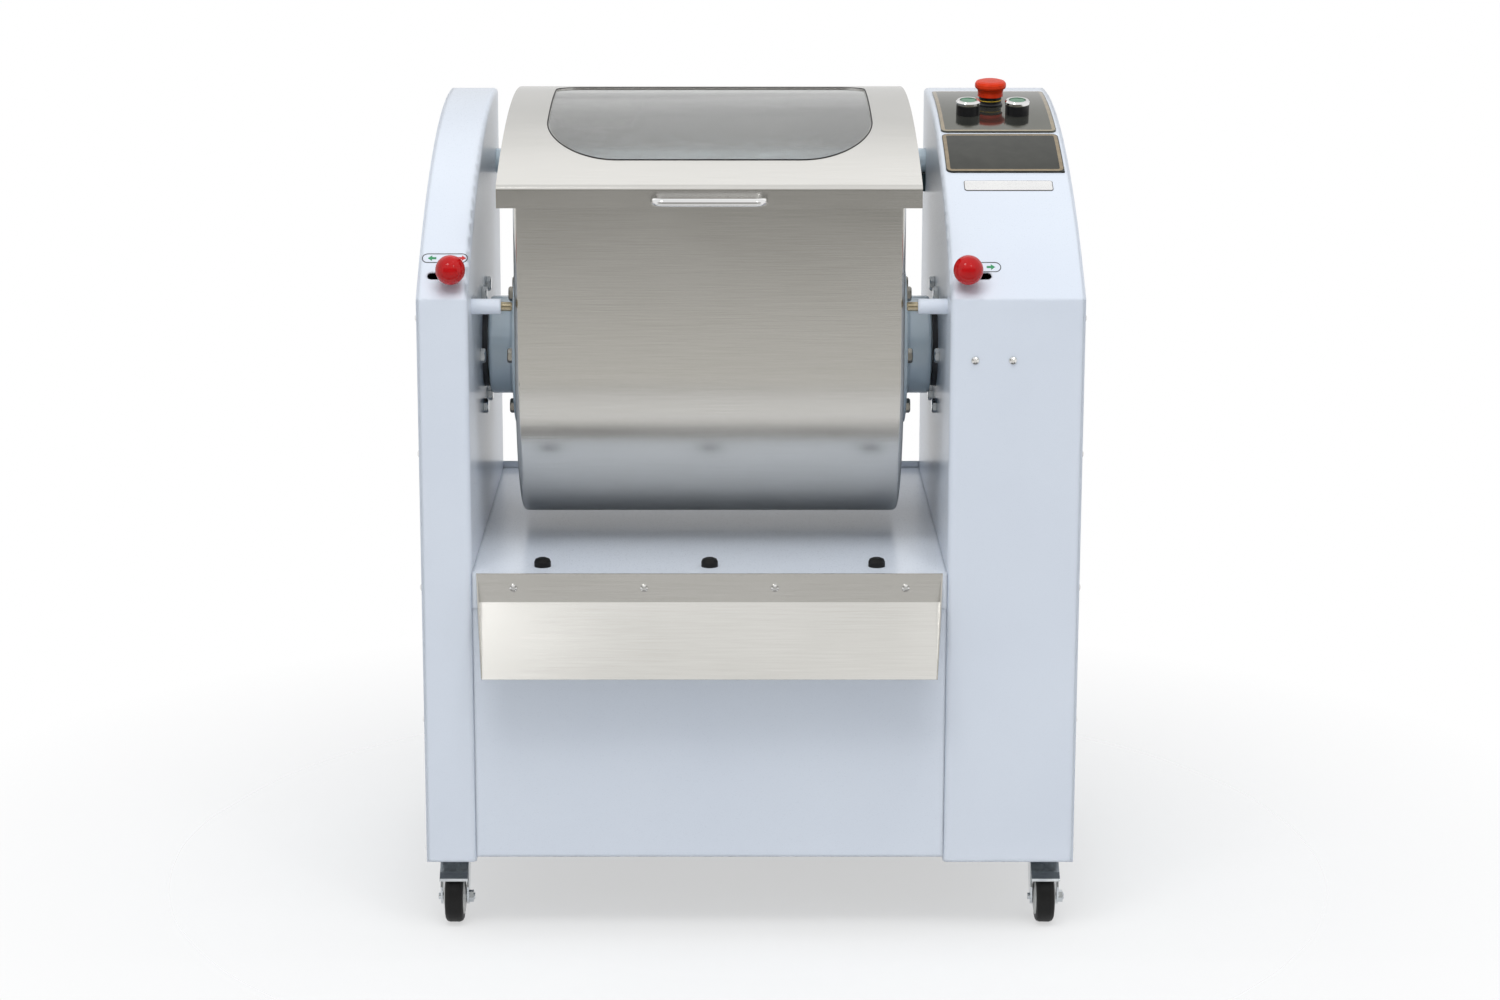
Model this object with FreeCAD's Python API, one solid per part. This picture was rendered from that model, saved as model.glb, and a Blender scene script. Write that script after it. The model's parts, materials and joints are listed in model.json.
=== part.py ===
import FreeCAD, Part
import math
import os

# Tilting dough mixer, in millimetres. X runs right, Y runs from front to back, Z runs up from the floor.
# The columns' front faces lie in Y = 0 while modelling; every piece is centred in Y when it is saved.

# Columns and casing sheet
body_width = 780.0
left_column_width = 60.0
right_column_width = 157.0
column_depth = 595.0
column_base = 90.0
bend_height = 777.0
column_top = 962.0
top_flat = 35.0
column_sheet = 3.0
cover_sheet = 2.0
cover_land = 24.0
column_edge_radius = 6.0

# Lower box: deck, panels, base frame
deck_height = 449.0
deck_sheet = 2.0
deck_apron = 44.0
deck_upstand = 9.0
panel_sheet = 2.0
skid_thickness = 6.0
rail_size = 40.0
rail_wall = 3.0
rail_inset = 60.0

# Discharge chute and deck bumpers
chute_sheet = 1.5
chute_strip = 35.0
chute_reach = 55.0
chute_drop = 80.0
chute_side_gap = 5.0
chute_taper = 8.0
chute_screw_margin = 44.0
bumper_radius = 10.0
bumper_height = 10.5
bumper_setback = 35.0
bumper_pitch = 199.5

# Drum and its trunnions
trunnion_y = 280.0
trunnion_z = 674.5
drum_radius = 207.5
drum_front_rise = 242.0
drum_rear_rise = 184.0
drum_width = 464.0
drum_sheet = 3.0
drum_end_thickness = 8.0
drum_end_edge = 6.0
flange_radius = 97.0
flange_thickness = 10.0
hub_radius = 61.0
hub_gap = 2.0
neck_radius = 52.0
neck_length = 6.0
journal_radius = 40.0
housing_flange = 10.0
housing_boss = 26.0
bolt_circle = 81.0
bolt_count = 6

# Agitator
shaft_radius = 20.0
shaft_end_margin = 14.0
shaft_overrun = 97.0
agitator_sweep = 150.0
kneading_bar_radius = 11.0
spider_width = 22.0
spider_gap = 12.0
spider_boss = 34.0
agitator_arms = 3
bar_twist = 26.0

# Lid
hood_width = 496.0
hood_sheet = 1.5
hood_lip_y = 20.0
hood_lip_z = 881.0
hood_top = 974.5
hood_apex_y = 430.0
hood_radius = 1270.0
hood_edge_radius = 7.0
tie_bar_y = 545.0
tie_bar_z = 872.0
tie_bar_radius = 16.0
tie_bar_wall = 3.0
hood_tail = 30.0
hood_heel = 24.0
hinge_sleeve_length = 40.0
hinge_sleeve_wall = 6.0
window_front = 93.0
window_back = 485.0
window_width = 392.0
window_corner_across = 88.0
window_corner_along = 140.0
window_rear_corner = 36.0
window_sheet = 3.0
window_lap = 14.0
handle_length = 137.0
handle_reach = 28.0
handle_rod = 4.8
handle_bend = 12.0
handle_rise = 9.5

# Drum locks
lock_z = 758.0
lock_gap = 1.5
lock_pin_radius = 5.5
lock_sleeve_radius = 9.25
lock_sleeve_length = 35.0
lock_travel = 24.0
lock_tip_gap = 1.5
stud_radius = 4.0
stud_slope = 25.0
stud_height = 799.5
stud_setback = 20.0
stud_outside = 30.0
knob_radius = 17.5
slot_clearance = 1.0
arm_width = 14.0
arm_thickness = 8.0

# Controls on the arched top
fascia_sheet = 2.0
fascia_margin = 6.5
fascia_corner = 8.0
control_offset = -3.0
lower_fascia_front = 217.0
lower_fascia_back = 320.0
upper_fascia_front = 329.0
upper_fascia_back = 535.0
button_y = 397.0
button_pitch = 62.0
button_radius = 15.0
button_neck = 11.0
button_neck_length = 18.0
button_body = 12.5
button_bezel = 5.5
button_face = 10.5
button_face_depth = 8.0
button_travel = 4.0
stop_y = 440.0
stop_collar_radius = 14.3
stop_collar_height = 14.0
stop_head_radius = 20.0
stop_head_height = 32.0
stop_skirt_radius = 16.2
stop_skirt_lap = 2.0
stop_travel = 4.0

# Drive inside the base and the right column
motor_y = 330.0
motor_axis_rise = 90.0
motor_radius = 72.0
motor_length = 230.0
motor_gap = 43.0
motor_shaft = 12.0
counter_y = 330.0
counter_z = 396.0
counter_radius = 15.0
cartridge_radius = 36.0
cartridge_length = 74.0
cartridge_flange = 55.0
pulley_width = 22.0
pulley_plane = 262.0
motor_pulley_radius = 38.0
counter_pulley_radius = 100.0
pulley_rim = 6.0
belt_width = 12.0
belt_thickness = 8.0
chain_plane = 308.0
chain_pitch = 19.05
sprocket_teeth = 43
pinion_teeth = 12
sprocket_width = 6.0
chain_plate = 1.6
chain_link_height = 8.0
contactor_size = (64.0, 90.0, 180.0)
contactor_corner = (60.0, 14.0)
switch_size = (22.0, 25.0, 23.0)

# Castors
castor_inset_x = 30.0
castor_inset_y = 66.0
castor_plate = (54.0, 70.0)
castor_plate_thickness = 3.0
castor_trail = 22.0
wheel_radius = 31.5
tyre_width = 22.0
tyre_depth = 9.0
core_width = 27.0
fork_gap = 1.2
fork_sheet = 2.5
axle_radius = 4.0

# Fasteners
dome_head = 5.0
dome_height = 2.6
dome_shank = 2.4
dome_length = 8.0
cover_screws = 5
cover_screw_margin = 14.0
hex_across_flats = 16.0
hex_height = 6.4
hex_shank = 5.0

# Fits
running_fit = 0.06
sliding_fit = 0.10
hole_fit = 0.20
clearance = 0.30
drive_clearance = 0.40

# Places worked out from the driving sizes
left_outer = -body_width / 2
right_outer = body_width / 2
left_inner = left_outer + left_column_width
right_inner = right_outer - right_column_width
bay_middle = (left_inner + right_inner) / 2
arch_y = column_depth - top_flat
arch_radius = (arch_y ** 2 + (column_top - bend_height) ** 2) / (2 * (column_top - bend_height))
arch_z = column_top - arch_radius
drum_left = bay_middle - drum_width / 2
drum_right = bay_middle + drum_width / 2
drum_front = trunnion_y - drum_radius
lock_y = drum_front - lock_gap - lock_pin_radius
rail_base = column_base + skid_thickness
rail_top = rail_base + rail_size
motor_z = rail_top + motor_axis_rise
sprocket_radius = chain_pitch / (2 * math.sin(math.pi / sprocket_teeth))
pinion_radius = chain_pitch / (2 * math.sin(math.pi / pinion_teeth))
tooth_height = chain_link_height * 0.55
control_middle = (right_inner + right_outer) / 2 + control_offset
front_extreme = -chute_reach
centre_y = (front_extreme + column_depth) / 2


def vec(x, y, z):
    return FreeCAD.Vector(x, y, z)


def save(name, shape):
    moved = shape.copy()
    moved.translate(vec(0, -centre_y, 0))
    moved.exportStep("parts/" + name + ".step")


def line(a, b):
    return Part.makeLine(a, b)


def arc(a, b, c):
    return Part.Arc(a, b, c).toShape()


def extruded(edges, direction):
    return Part.Face(Part.Wire(Part.__sortEdges__(edges))).extrude(direction)


def prism_x(points, x0, x1):
    """A closed outline of (y, z) points extruded from x0 to x1."""
    corners = [vec(x0, y, z) for y, z in points]
    return Part.Face(Part.makePolygon(corners + corners[:1])).extrude(vec(x1 - x0, 0, 0))


def bar_x(radius, x0, x1, y, z):
    return Part.makeCylinder(radius, x1 - x0, vec(x0, y, z), vec(1, 0, 0))


def box(x0, x1, y0, y1, z0, z1):
    return Part.makeBox(x1 - x0, y1 - y0, z1 - z0, vec(x0, y0, z0))


def turned_x(outline, y, z):
    """A closed outline of (x, radius) points turned about an X axis through (y, z)."""
    corners = [vec(x, y, z + radius) for x, radius in outline]
    face = Part.Face(Part.makePolygon(corners + corners[:1]))
    return face.revolve(vec(0, y, z), vec(1, 0, 0), 360)


def turned_z(outline):
    """A closed outline of (radius, height) points turned about the Z axis."""
    corners = [vec(radius, 0, height) for radius, height in outline]
    face = Part.Face(Part.makePolygon(corners + corners[:1]))
    return face.revolve(vec(0, 0, 0), vec(0, 0, 1), 360)


def placed(shape, position, direction):
    """A copy of a shape whose own +Z is turned to the given direction."""
    copy = shape.copy()
    copy.Placement = FreeCAD.Placement(position, FreeCAD.Rotation(vec(0, 0, 1), direction))
    return copy


def mirrored_bay(shape):
    """A copy of a shape mirrored in the middle plane of the drum bay."""
    return shape.mirror(vec(bay_middle, 0, 0), vec(1, 0, 0))


def corner_curve(start, corner, end):
    """A quarter round between two edges that would meet at the given corner."""
    curve = Part.BezierCurve()
    pull = 4 * (math.sqrt(2) - 1) / 3
    curve.setPoles([start, start + (corner - start) * pull, end + (corner - end) * pull, end])
    return curve.toShape()


def rounded_plan(x0, x1, y0, y1, front, rear, z0, z1):
    """A vertical prism with a rounded plan; front and rear corners are (across, along) sizes."""
    fx, fy = front
    rx, ry = rear
    stops = [
        (vec(x0, y0 + fy, z0), vec(x0, y0, z0), vec(x0 + fx, y0, z0)),
        (vec(x1 - fx, y0, z0), vec(x1, y0, z0), vec(x1, y0 + fy, z0)),
        (vec(x1, y1 - ry, z0), vec(x1, y1, z0), vec(x1 - rx, y1, z0)),
        (vec(x0 + rx, y1, z0), vec(x0, y1, z0), vec(x0, y1 - ry, z0)),
    ]
    edges = []
    for i, (start, corner, end) in enumerate(stops):
        edges.append(corner_curve(start, corner, end))
        edges.append(line(end, stops[(i + 1) % 4][0]))
    return extruded(edges, vec(0, 0, z1 - z0))


def arch_point(y, rise=0.0):
    """Height of the arched top at a depth y, on a surface lifted by the given rise."""
    return arch_z + math.sqrt((arch_radius + rise) ** 2 - (arch_y - y) ** 2)


def arch_normal(y):
    lean = (arch_y - y) / arch_radius
    return vec(0, -lean, math.sqrt(1 - lean ** 2))


def on_fascia(shape, x, y):
    """A shape standing on the outer face of the fascia, its +Z along the arch normal."""
    normal = arch_normal(y)
    foot = vec(x, arch_y, arch_z) + normal * (arch_radius + fascia_sheet)
    return placed(shape, foot, normal)


def column_solid(x0, x1, inset, bottom):
    """The column's side outline, drawn in by an inset and extruded from x0 to x1."""
    radius = arch_radius - inset
    middle = (inset + arch_y) / 2
    corner_z = arch_z + math.sqrt(radius ** 2 - (arch_y - inset) ** 2)
    middle_z = arch_z + math.sqrt(radius ** 2 - (arch_y - middle) ** 2)
    top = arch_z + radius
    back = column_depth - inset
    a = vec(x0, inset, bottom)
    b = vec(x0, inset, corner_z)
    c = vec(x0, arch_y, top)
    d = vec(x0, back, top)
    e = vec(x0, back, bottom)
    edges = [line(a, b), arc(b, vec(x0, middle, middle_z), c), line(c, d), line(d, e), line(e, a)]
    return extruded(edges, vec(x1 - x0, 0, 0))


def rail_ys():
    return (rail_inset, column_depth - rail_inset)


def cross_rail(y):
    x0 = left_outer + cover_sheet + column_sheet
    x1 = right_outer - cover_sheet - column_sheet
    return box(x0, x1, y - rail_size / 2, y + rail_size / 2, rail_base, rail_top)


def base_frame():
    reach = cover_sheet + column_sheet
    frame = box(left_outer + reach, left_inner - column_sheet, column_sheet, column_depth - column_sheet,
                column_base, rail_base)
    frame = frame.fuse(box(right_inner + column_sheet, right_outer - reach, column_sheet,
                           column_depth - column_sheet, column_base, rail_base))
    for y in rail_ys():
        frame = frame.fuse(cross_rail(y))
    front, back = rail_ys()
    for x in motor_rail_xs():
        frame = frame.fuse(box(x - rail_size / 2, x + rail_size / 2, front, back, rail_base, rail_top))
    for y in rail_ys():
        core = box(left_outer + reach, right_outer - reach, y - rail_size / 2 + rail_wall,
                   y + rail_size / 2 - rail_wall, rail_base + rail_wall, rail_top - rail_wall)
        frame = frame.cut(core)
    return frame.removeSplitter()


def motor_rail_xs():
    motor_right = right_inner - motor_gap
    return (motor_right - motor_length * 0.72, motor_right - motor_length * 0.28)


def cover_screw_places():
    """Heights and depths of the screws along both upright edges of a side cover."""
    low = column_base + cover_screw_margin
    high = bend_height - cover_land
    step = (high - low) / (cover_screws - 1)
    depths = (cover_screw_margin, column_depth - cover_screw_margin)
    return [(y, low + step * i) for y in depths for i in range(cover_screws)]


def column_front_screws():
    lead = right_column_width * 0.185
    return [(right_inner + lead, bend_height - 72.0), (right_inner + lead + 44.0, bend_height - 72.0)]


def chute_screw_xs():
    low = left_inner + chute_side_gap + chute_screw_margin
    high = right_inner - chute_side_gap - chute_screw_margin
    return [low + (high - low) * i / 3 for i in range(4)]


def bolt_angles():
    return [math.radians(360.0 / bolt_count * i) for i in range(bolt_count)]


def bolt_places():
    return [(trunnion_y + bolt_circle * math.cos(a), trunnion_z + bolt_circle * math.sin(a))
            for a in bolt_angles()]


def stud_direction():
    slope = math.radians(stud_slope)
    return vec(0, -math.cos(slope), math.sin(slope))


def stud_mouth():
    """The point where the lock stud leaves the arched front."""
    y = arch_y - math.sqrt(arch_radius ** 2 - (stud_height - arch_z) ** 2)
    return vec(0, y, stud_height)


def left_stud_x():
    return left_inner - stud_setback


def stud_slot():
    """Slot cutter for the left column, long enough for the whole travel."""
    width = stud_radius + slot_clearance
    start = stud_mouth() - stud_direction() * 20
    inner = vec(left_stud_x(), 0, 0) + start
    outer = inner - vec(lock_travel, 0, 0)
    across = stud_direction().cross(vec(1, 0, 0)) * width
    edges = [
        line(inner + across, outer + across),
        arc(outer + across, outer - vec(width, 0, 0), outer - across),
        line(outer - across, inner - across),
        arc(inner - across, inner + vec(width, 0, 0), inner + across),
    ]
    return extruded(edges, stud_direction() * 40)


def column_shell(inner, outer):
    """A folded housing with one open side; inner and outer are the X faces of its sheet."""
    side = 1 if outer > inner else -1
    x0, x1 = sorted((inner, outer))
    shell = column_solid(x0, x1, 0, column_base)
    rounded = []
    for edge in shell.Edges:
        bounds = edge.BoundBox
        centre = edge.CenterOfMass
        flat = abs(bounds.XMin - inner) < 0.01 and abs(bounds.XMax - inner) < 0.01
        upright = centre.y < 0.01 or (bounds.YLength > 1 and bounds.ZLength > 1)
        if flat and upright:
            rounded.append(edge)
    shell = shell.makeFillet(column_edge_radius, rounded)
    cavity_x = sorted((inner + side * column_sheet, outer - side * column_sheet))
    shell = shell.cut(column_solid(cavity_x[0], cavity_x[1], column_sheet, column_base - 1))
    hatch_x = sorted((outer - side * (column_sheet + 1), outer + side))
    shell = shell.cut(column_solid(hatch_x[0], hatch_x[1], cover_land, column_base + cover_land))
    wall_x = sorted((inner - side, inner + side * (column_sheet + 1)))
    shell = shell.cut(bar_x(neck_radius, wall_x[0], wall_x[1], trunnion_y, trunnion_z))
    shell = shell.cut(bar_x(lock_sleeve_radius, wall_x[0], wall_x[1], lock_y, lock_z))
    for y, z in bolt_places():
        shell = shell.cut(bar_x(hex_shank + hole_fit, wall_x[0], wall_x[1], y, z))
    for y in rail_ys():
        shell = shell.cut(cross_rail(y))
    flange_x = sorted((outer - side * (column_sheet + 1), outer + side))
    for y, z in cover_screw_places():
        shell = shell.cut(bar_x(dome_shank + hole_fit, flange_x[0], flange_x[1], y, z))
    return shell


def left_column():
    return column_shell(left_inner, left_outer + cover_sheet).cut(stud_slot())


def right_column():
    shell = column_shell(right_inner, right_outer - cover_sheet)
    shell = shell.cut(mirrored_bay(stud_slot()))
    wall = (right_inner - 1, right_inner + column_sheet + 1)
    shell = shell.cut(bar_x(motor_shaft + 4, wall[0], wall[1], motor_y, motor_z))
    shell = shell.cut(bar_x(cartridge_radius, wall[0], wall[1], counter_y, counter_z))
    for x, z in column_front_screws():
        hole = Part.makeCylinder(dome_shank + hole_fit, column_sheet + 2, vec(x, -1, z), vec(0, 1, 0))
        shell = shell.cut(hole)
    for cutter in control_holes():
        shell = shell.cut(cutter)
    return shell


def side_cover(x0, x1):
    cover = column_solid(x0, x1, 0, column_base)
    for y, z in cover_screw_places():
        cover = cover.cut(bar_x(dome_shank + hole_fit, x0 - 1, x1 + 1, y, z))
    return cover


def front_panel():
    """Flat panel fixed behind the deck's apron by the chute screws."""
    panel = box(left_inner, right_inner, deck_sheet, deck_sheet + panel_sheet, rail_base,
                deck_height - deck_sheet)
    for x in chute_screw_xs():
        panel = panel.cut(chute_screw_hole(x))
    return panel


def rear_panel():
    return box(left_inner, right_inner, column_depth - panel_sheet, column_depth, rail_base,
               deck_height - deck_sheet)


def deck():
    """A folded table: apron at the front, low upstand at the back."""
    inner = deck_height - deck_sheet
    back = column_depth
    outline = [
        (0, deck_height - deck_apron), (0, deck_height), (back - deck_sheet, deck_height),
        (back - deck_sheet, deck_height + deck_upstand), (back, deck_height + deck_upstand),
        (back, inner), (deck_sheet, inner), (deck_sheet, deck_height - deck_apron),
    ]
    sheet = prism_x(outline, left_inner, right_inner)
    for x in chute_screw_xs():
        sheet = sheet.cut(chute_screw_hole(x))
    return sheet


def chute_screw_z():
    return deck_height - chute_strip / 2


def chute_screw_hole(x):
    return Part.makeCylinder(dome_shank + hole_fit, 20, vec(x, -10, chute_screw_z()), vec(0, 1, 0))


def discharge_chute():
    """A three-sided tray, narrower at its toe: upright strip, sloping floor and two side cheeks."""
    x0 = left_inner + chute_side_gap
    x1 = right_inner - chute_side_gap
    knee = deck_height - chute_strip
    toe = knee - chute_drop
    run = math.hypot(chute_reach, chute_drop)
    drop_y = chute_sheet * chute_drop / run
    drop_z = chute_sheet * chute_reach / run
    folded = [
        (0, deck_height), (-chute_sheet, deck_height), (-chute_sheet, knee), (-chute_reach, toe),
        (-chute_reach + drop_y, toe - drop_z), (0, knee - drop_z),
    ]
    plan = [vec(x0, 0, toe - 10), vec(x1, 0, toe - 10), vec(x1 - chute_taper, -chute_reach, toe - 10),
            vec(x0 + chute_taper, -chute_reach, toe - 10)]
    tray = prism_x(folded, x0, x1)
    tray = tray.common(Part.Face(Part.makePolygon(plan + plan[:1])).extrude(vec(0, 0, deck_height)))
    cheek = [(0, deck_height), (-chute_reach, toe), (-chute_reach + drop_y, toe - drop_z), (0, knee - drop_z)]
    for x, inward in ((x0, 1), (x1, -1)):
        corners = [vec(x - inward * chute_taper * y / chute_reach, y, z) for y, z in cheek]
        side = Part.Face(Part.makePolygon(corners + corners[:1]))
        tray = tray.fuse(side.extrude(vec(inward * chute_sheet, 0, 0)))
    for x in chute_screw_xs():
        tray = tray.cut(chute_screw_hole(x))
    return tray.removeSplitter()


def deck_bumpers():
    outline = [
        (0, 0), (bumper_radius, 0), (bumper_radius, bumper_height * 0.55),
        (bumper_radius * 0.85, bumper_height * 0.85), (bumper_radius * 0.5, bumper_height), (0, bumper_height),
    ]
    bumper = turned_z(outline)
    places = [vec(bay_middle + bumper_pitch * i, bumper_setback, deck_height) for i in (-1, 0, 1)]
    return Part.makeCompound([placed(bumper, place, vec(0, 0, 1)) for place in places])


def rear_tie_bar():
    bar = bar_x(tie_bar_radius, left_inner, right_inner, tie_bar_y, tie_bar_z)
    return bar.cut(bar_x(tie_bar_radius - tie_bar_wall, left_inner - 1, right_inner + 1, tie_bar_y, tie_bar_z))


def dome_screw():
    """Low domed head with a short shank."""
    return turned_z([
        (0, -dome_length), (dome_shank, -dome_length), (dome_shank, 0), (dome_head, 0),
        (dome_head * 0.85, dome_height * 0.6), (dome_head * 0.45, dome_height), (0, dome_height),
    ])


def casing_screws():
    screw = dome_screw()
    screws = []
    for y, z in cover_screw_places():
        screws.append(placed(screw, vec(left_outer, y, z), vec(-1, 0, 0)))
        screws.append(placed(screw, vec(right_outer, y, z), vec(1, 0, 0)))
    for x in chute_screw_xs():
        screws.append(placed(screw, vec(x, -chute_sheet, chute_screw_z()), vec(0, -1, 0)))
    for x, z in column_front_screws():
        screws.append(placed(screw, vec(x, 0, z), vec(0, -1, 0)))
    return Part.makeCompound(screws)


def hex_bolt(grip):
    corner = hex_across_flats / math.sqrt(3)
    points = [vec(corner * math.cos(math.radians(60 * i)), corner * math.sin(math.radians(60 * i)), 0)
              for i in range(6)]
    head = Part.Face(Part.makePolygon(points + points[:1])).extrude(vec(0, 0, hex_height))
    crown = turned_z([(0, 0), (corner, 0), (corner, hex_height * 0.75), (corner * 0.82, hex_height),
                      (0, hex_height)])
    return head.common(crown).fuse(Part.makeCylinder(hex_shank, grip, vec(0, 0, -grip)))


def left_bearing_housing():
    """Flanged bearing inside the column wall; its neck passes through the wall towards the drum."""
    wall = left_inner - column_sheet
    outline = [
        (left_inner + neck_length, journal_radius + running_fit), (left_inner + neck_length, neck_radius),
        (wall, neck_radius), (wall, flange_radius), (wall - housing_flange, flange_radius),
        (wall - housing_flange, hub_radius), (wall - housing_boss, hub_radius - 6),
        (wall - housing_boss, journal_radius + running_fit),
    ]
    housing = turned_x(outline, trunnion_y, trunnion_z)
    for y, z in bolt_places():
        housing = housing.cut(bar_x(hex_shank + hole_fit, wall - housing_flange - 1, wall + 1, y, z))
    return housing


def left_trunnion():
    """Hollow trunnion bolted to the drum end; its journal turns in the bearing housing."""
    hub_end = left_inner + neck_length + hub_gap
    journal_end = left_inner - column_sheet - housing_boss
    flange = drum_left - flange_thickness
    bore = shaft_radius + running_fit
    outline = [
        (drum_left, bore), (drum_left, flange_radius), (flange, flange_radius), (flange, hub_radius + 5),
        (flange - 2, hub_radius + 1.5), (flange - 5, hub_radius), (hub_end + 4, hub_radius),
        (hub_end + 1, hub_radius - 1.5), (hub_end, hub_radius - 5), (hub_end, journal_radius),
        (journal_end, journal_radius), (journal_end, bore),
    ]
    trunnion = turned_x(outline, trunnion_y, trunnion_z)
    for y, z in bolt_places():
        trunnion = trunnion.cut(bar_x(hex_shank + hole_fit, flange - 1, drum_left + 1, y, z))
    return trunnion


def housing_bolts():
    bolt = hex_bolt(column_sheet + housing_flange)
    left = [placed(bolt, vec(left_inner, y, z), vec(1, 0, 0)) for y, z in bolt_places()]
    right = [placed(bolt, vec(right_inner, y, z), vec(-1, 0, 0)) for y, z in bolt_places()]
    return Part.makeCompound(left + right)


def trunnion_bolts():
    bolt = hex_bolt(flange_thickness + drum_end_thickness * 0.75)
    left = [placed(bolt, vec(drum_left - flange_thickness, y, z), vec(-1, 0, 0)) for y, z in bolt_places()]
    right = [placed(bolt, vec(drum_right + flange_thickness, y, z), vec(1, 0, 0)) for y, z in bolt_places()]
    return Part.makeCompound(left + right)


def drum_solid(x0, x1, inset, rise):
    """The trough's U outline, drawn in by an inset, with its mouth raised by the given rise."""
    radius = drum_radius - inset
    front_top = vec(x0, trunnion_y - radius, trunnion_z + drum_front_rise + rise)
    front = vec(x0, trunnion_y - radius, trunnion_z)
    bottom = vec(x0, trunnion_y, trunnion_z - radius)
    back = vec(x0, trunnion_y + radius, trunnion_z)
    back_top = vec(x0, trunnion_y + radius, trunnion_z + drum_rear_rise + rise)
    edges = [line(front_top, front), arc(front, bottom, back), line(back, back_top), line(back_top, front_top)]
    return extruded(edges, vec(x1 - x0, 0, 0))


def drum_trough():
    x0 = drum_left + drum_end_thickness
    x1 = drum_right - drum_end_thickness
    return drum_solid(x0, x1, 0, 0).cut(drum_solid(x0 - 1, x1 + 1, drum_sheet, 50))


def left_drum_end():
    """A dished end whose outer rim is rolled round into the trough."""
    plate = drum_solid(drum_left, drum_left + drum_end_thickness, 0, 0)
    top = trunnion_z + drum_rear_rise
    rim = [edge for edge in plate.Edges
           if abs(edge.BoundBox.XMin - drum_left) < 0.01 and edge.BoundBox.XLength < 0.01
           and edge.BoundBox.ZMin < top - 1]
    plate = plate.makeFillet(drum_end_edge, rim)
    plate = plate.cut(bar_x(shaft_radius + 4, drum_left - 1, drum_left + drum_end_thickness + 1,
                            trunnion_y, trunnion_z))
    for y, z in bolt_places():
        depth = drum_end_thickness * 0.75 + hole_fit
        plate = plate.cut(bar_x(hex_shank + hole_fit, drum_left - 1, drum_left + depth, y, z))
    return plate


def agitator_shaft():
    start = left_outer + cover_sheet + column_sheet + shaft_end_margin
    return bar_x(shaft_radius, start, right_inner + shaft_overrun, trunnion_y, trunnion_z)


def agitator_frame():
    """Two three-armed spiders joined by slanting kneading bars."""
    left = drum_left + drum_end_thickness + spider_gap
    right = drum_right - drum_end_thickness - spider_gap - spider_width
    frame = None
    for i in range(agitator_arms):
        ends = []
        for x, twist in ((left, -bar_twist / 2), (right, bar_twist / 2)):
            angle = math.radians(30 + 360.0 / agitator_arms * i + twist)
            out = vec(0, math.cos(angle), math.sin(angle))
            across = vec(0, -math.sin(angle), math.cos(angle))
            root = vec(x, trunnion_y, trunnion_z) + out * (spider_boss * 0.8)
            tip = vec(x, trunnion_y, trunnion_z) + out * agitator_sweep
            corners = [root + across * 16, tip + across * 11, tip - across * 11, root - across * 16]
            arm = Part.Face(Part.makePolygon(corners + corners[:1])).extrude(vec(spider_width, 0, 0))
            arm = arm.fuse(Part.makeCylinder(kneading_bar_radius, spider_width, tip, vec(1, 0, 0)))
            frame = arm if frame is None else frame.fuse(arm)
            ends.append(tip + vec(spider_width / 2, 0, 0))
        run = ends[1] - ends[0]
        frame = frame.fuse(Part.makeCylinder(kneading_bar_radius - 1, run.Length, ends[0], run))
    for x in (left, right):
        frame = frame.fuse(bar_x(spider_boss, x, x + spider_width, trunnion_y, trunnion_z))
    return frame.cut(bar_x(shaft_radius, drum_left, drum_right, trunnion_y, trunnion_z)).removeSplitter()


def toothed_disc(teeth, pitch_radius, x0, x1, y, z, bore):
    """A sprocket with straight-flanked teeth."""
    root = pitch_radius - tooth_height
    tip = pitch_radius + tooth_height
    points = []
    for i in range(teeth):
        for share, radius in ((-0.36, root), (-0.16, tip), (0.16, tip), (0.36, root)):
            angle = 2 * math.pi * (i + share) / teeth
            points.append((y + radius * math.cos(angle), z + radius * math.sin(angle)))
    return prism_x(points, x0, x1).cut(bar_x(bore, x0 - 1, x1 + 1, y, z))


def agitator_sprocket():
    x0 = chain_plane - sprocket_width / 2
    disc = toothed_disc(sprocket_teeth, sprocket_radius, x0, x0 + sprocket_width, trunnion_y, trunnion_z,
                        shaft_radius)
    boss = bar_x(shaft_radius + 15, x0 - 22, x0 + 1, trunnion_y, trunnion_z)
    disc = disc.fuse(boss.cut(bar_x(shaft_radius, x0 - 23, x0 + 2, trunnion_y, trunnion_z)))
    for angle in bolt_angles():
        radius = (sprocket_radius + shaft_radius) / 2 + 5
        hole = bar_x(sprocket_radius * 0.2, x0 - 1, x0 + sprocket_width + 1,
                     trunnion_y + radius * math.cos(angle), trunnion_z + radius * math.sin(angle))
        disc = disc.cut(hole)
    return disc.removeSplitter()


def countershaft():
    """Shaft with its chain pinion cut from the solid."""
    start = right_inner + column_sheet + 18 - cartridge_length - 2
    x0 = chain_plane - sprocket_width / 2
    shaft = bar_x(counter_radius, start, x0 + sprocket_width + 12, counter_y, counter_z)
    pinion = toothed_disc(pinion_teeth, pinion_radius, x0, x0 + sprocket_width, counter_y, counter_z,
                          counter_radius - 1)
    return shaft.fuse(pinion).removeSplitter()


def grooved_pulley(radius, y, z, bore):
    x0 = pulley_plane
    x1 = pulley_plane + pulley_width
    groove = (pulley_width - belt_width) / 2 - drive_clearance
    rim = radius + pulley_rim
    outline = [(x0, bore), (x0, rim), (x0 + groove, rim), (x0 + groove, radius), (x1 - groove, radius),
               (x1 - groove, rim), (x1, rim), (x1, bore)]
    return turned_x(outline, y, z)


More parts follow.
